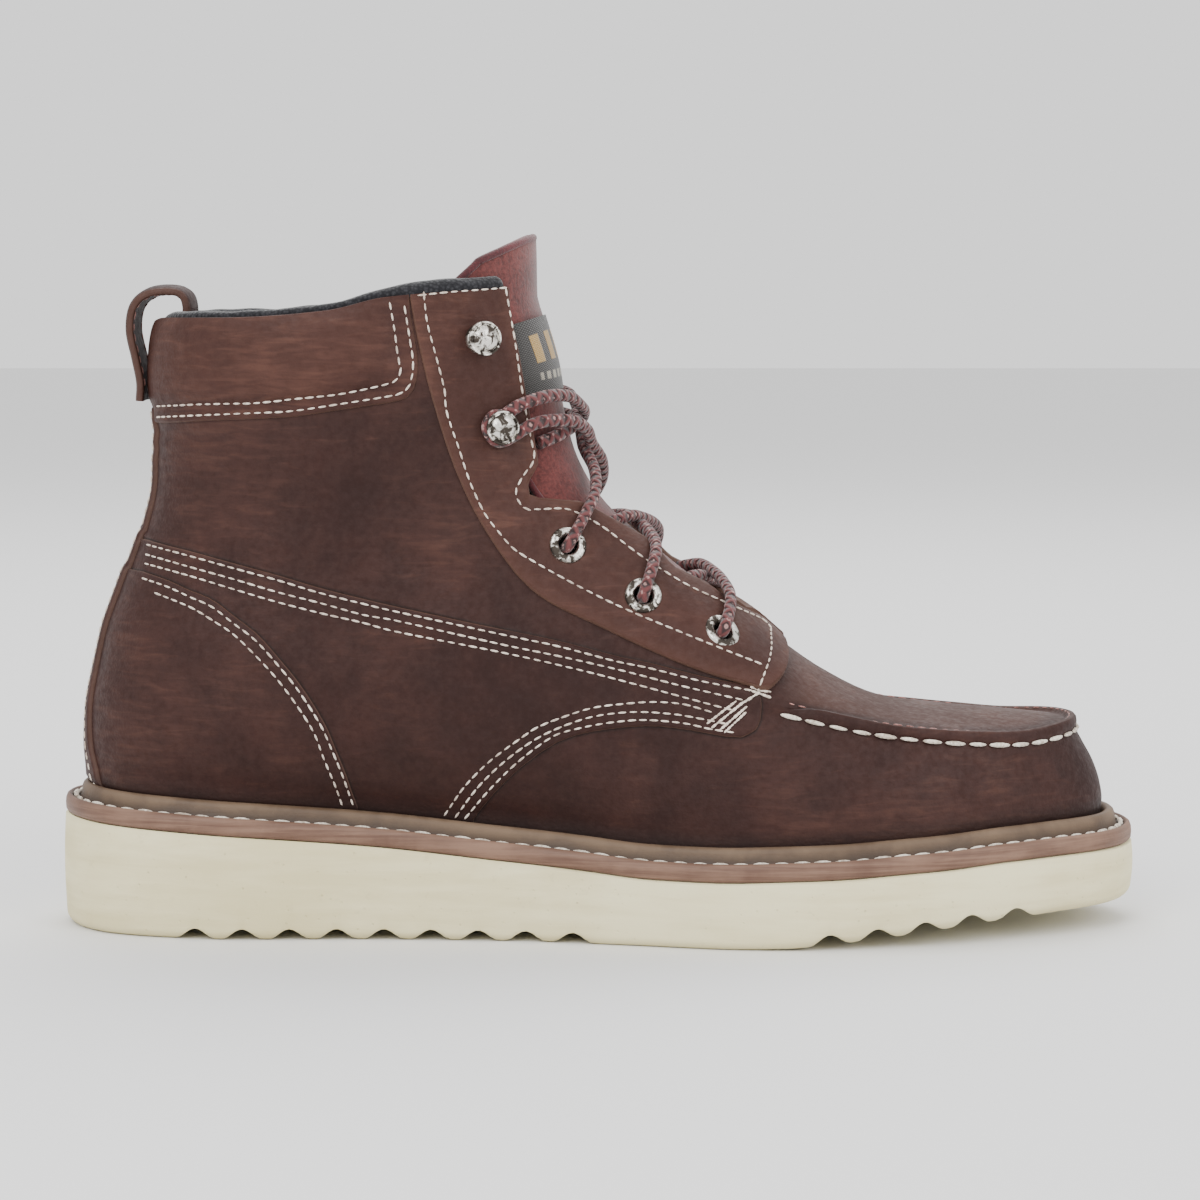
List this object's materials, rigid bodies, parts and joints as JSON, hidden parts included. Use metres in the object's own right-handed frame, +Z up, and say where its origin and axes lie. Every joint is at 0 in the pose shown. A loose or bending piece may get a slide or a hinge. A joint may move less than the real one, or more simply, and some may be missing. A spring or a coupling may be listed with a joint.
{
  "type": "work boot",
  "caption": "Men's lace-up leather work boot with a moc toe, padded collar, pull loop, eyelets and speed hooks on a storm welt and a lugged wedge sole; one right boot, empty and upright.",
  "frame": {"origin": "on the floor under the middle of the boot's box", "axes": "+X to the toe, +Y to the inner side of the foot, +Z up; the outer side of this right boot is -Y"},
  "size_m": [0.3076, 0.1057, 0.1934],
  "materials": {
    "sole_cream": "matte blown rubber",
    "welt_tan": "satin",
    "insole_board": "matte",
    "upper_leather": "oiled, matte",
    "collar_leather": "oiled, worn",
    "tongue_leather": "satin",
    "lace_brown": "braided cord",
    "nickel": "antique nickel"
  },
  "bodies": {
    "root": {"outsole": "sole_cream", "welt": "welt_tan", "insole": "insole_board", "upper": "upper_leather", "tongue": "tongue_leather", "eyestay_outer": "upper_leather", "eyestay_inner": "upper_leather", "collar_band": "collar_leather", "back_strip": "upper_leather", "pull_loop": "tongue_leather", "lace_cross_1": "lace_brown", "lace_cross_2": "lace_brown", "lace_cross_3": "lace_brown", "lace_cross_4": "lace_brown", "eyelet_outer_1": "nickel", "eyelet_outer_2": "nickel", "eyelet_outer_3": "nickel", "hook_outer_1": "nickel", "hook_outer_2": "nickel", "eyelet_inner_1": "nickel", "eyelet_inner_2": "nickel", "eyelet_inner_3": "nickel", "hook_inner_1": "nickel", "hook_inner_2": "nickel"}
  },
  "joints": []
}
